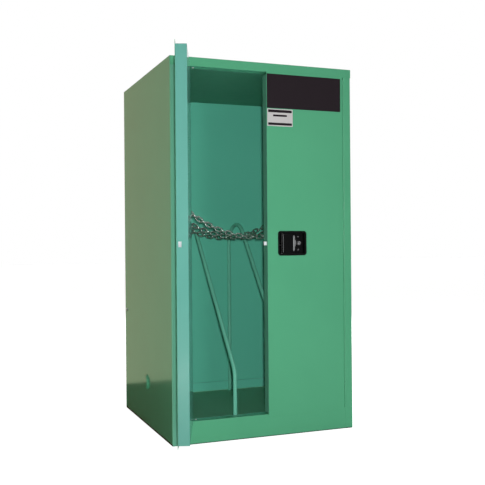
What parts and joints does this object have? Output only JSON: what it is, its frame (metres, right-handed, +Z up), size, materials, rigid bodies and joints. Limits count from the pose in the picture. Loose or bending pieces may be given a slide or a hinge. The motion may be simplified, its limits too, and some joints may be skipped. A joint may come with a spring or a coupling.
{
  "type": "gas cylinder cabinet",
  "caption": "Free-standing double-walled steel cabinet with hinged doors, a paddle latch and hanging chains and bent bars that keep standing gas cylinders upright.",
  "frame": {"origin": "on the floor under the middle of the cabinet's body", "axes": "+Z up, +Y to the back, +X to the right as seen from the doors"},
  "size_m": [0.9629, 1.2547, 1.651],
  "materials": {
    "green_enamel": "semi-gloss baked enamel",
    "black_plastic": "moulded satin",
    "bright_steel": "zinc plated",
    "zinc_chain": "dull zinc plate",
    "brass_screen": "woven wire"
  },
  "bodies": {
    "cabinet": {"left_side_panel": "green_enamel", "right_side_panel": "green_enamel", "rear_panel": "green_enamel", "roof_cap": "green_enamel", "header": "green_enamel", "sill": "green_enamel", "base_pan": "green_enamel", "left_liner": "green_enamel", "right_liner": "green_enamel", "rear_liner": "green_enamel", "ceiling_liner": "green_enamel", "sump_floor": "green_enamel", "left_hinge_frame_leaf": "green_enamel", "left_hinge_pin": "green_enamel", "right_hinge_frame_leaf": "green_enamel", "right_hinge_pin": "green_enamel", "left_vent_bush": "green_enamel", "left_vent_cap": "green_enamel", "left_vent_screen": "brass_screen", "right_vent_bush": "green_enamel", "right_vent_cap": "green_enamel", "right_vent_screen": "brass_screen", "ground_screw": "bright_steel", "header_screw": "bright_steel", "sill_screw": "bright_steel", "left_divider": "green_enamel", "right_divider": "green_enamel", "front_chain_eye_left": "green_enamel", "front_chain_eye_right": "green_enamel", "middle_chain_eye_left": "green_enamel", "middle_chain_eye_right": "green_enamel", "rear_chain_eye_left": "green_enamel", "rear_chain_eye_right": "green_enamel"},
    "left_door": {"left_door_skin": "green_enamel", "left_door_pan": "green_enamel", "left_hinge_door_leaf": "green_enamel", "strike_plate": "bright_steel"},
    "right_door": {"right_door_skin": "green_enamel", "right_door_pan": "green_enamel", "right_hinge_door_leaf": "green_enamel", "handle_pan": "black_plastic", "paddle_pin": "bright_steel", "lock_barrel": "bright_steel", "cam_pivot": "bright_steel"},
    "paddle": {"paddle": "black_plastic"},
    "lock_plug": {"lock_plug": "bright_steel"},
    "latch_cam": {"latch_cam": "bright_steel"},
    "latch_bolt": {"latch_bolt": "bright_steel"},
    "upper_latch_rod": {"upper_latch_rod": "bright_steel"},
    "lower_latch_rod": {"lower_latch_rod": "bright_steel"},
    "front_chain": {"front_chain": "zinc_chain"},
    "middle_chain": {"middle_chain": "zinc_chain"},
    "rear_chain": {"rear_chain": "zinc_chain"}
  },
  "joints": [
    {"name": "left_door_hinge", "type": "hinge", "parent": "cabinet", "child": "left_door", "pos_m": [-0.39116, -0.4348, 0.85], "axis": [0, 0, -1], "range_deg": [-109.5, 60.5]},
    {"name": "right_door_hinge", "type": "hinge", "parent": "cabinet", "child": "right_door", "pos_m": [0.39116, -0.4348, 0.85], "axis": [0, 0, 1], "range_deg": [0, 170]},
    {"name": "paddle_pull", "type": "hinge", "parent": "right_door", "child": "paddle", "pos_m": [0.08001, -0.4278, 0.8534], "axis": [0, 0, -1], "range_deg": [0, 35], "stiffness_Nm_per_rad": 0.8, "springref_deg": -17.19},
    {"name": "lock_turn", "type": "hinge", "parent": "right_door", "child": "lock_plug", "pos_m": [0.16506, -0.43, 0.8534], "axis": [0, -1, 0], "range_deg": [0, 90]},
    {"name": "cam_turn", "type": "hinge", "parent": "right_door", "child": "latch_cam", "pos_m": [0.08516, -0.4, 0.86753], "axis": [0, -1, 0], "range_deg": [0, 40]},
    {"name": "bolt_slide", "type": "slide", "parent": "right_door", "child": "latch_bolt", "axis": [1, 0, 0], "range_m": [0, 0.0103]},
    {"name": "upper_rod_slide", "type": "slide", "parent": "right_door", "child": "upper_latch_rod", "axis": [0, 0, -1], "range_m": [0, 0.0103]},
    {"name": "lower_rod_slide", "type": "slide", "parent": "right_door", "child": "lower_latch_rod", "axis": [0, 0, 1], "range_m": [0, 0.0103]},
    {"name": "front_chain_swing", "type": "hinge", "parent": "cabinet", "child": "front_chain", "pos_m": [0, -0.3048, 1.043], "axis": [1, 0, 0], "range_deg": [-15, 15]},
    {"name": "middle_chain_swing", "type": "hinge", "parent": "cabinet", "child": "middle_chain", "pos_m": [0, -0.1016, 1.043], "axis": [1, 0, 0], "range_deg": [-15, 15]},
    {"name": "rear_chain_swing", "type": "hinge", "parent": "cabinet", "child": "rear_chain", "pos_m": [0, 0.1016, 1.043], "axis": [1, 0, 0], "range_deg": [-15, 10]}
  ],
  "couplings": [
    {"joint": "cam_turn", "follows": "paddle_pull", "ratio": 1.1425},
    {"joint": "bolt_slide", "follows": "paddle_pull", "m_per_rad": 0.01683},
    {"joint": "upper_rod_slide", "follows": "paddle_pull", "m_per_rad": 0.01683},
    {"joint": "lower_rod_slide", "follows": "paddle_pull", "m_per_rad": 0.01683}
  ]
}
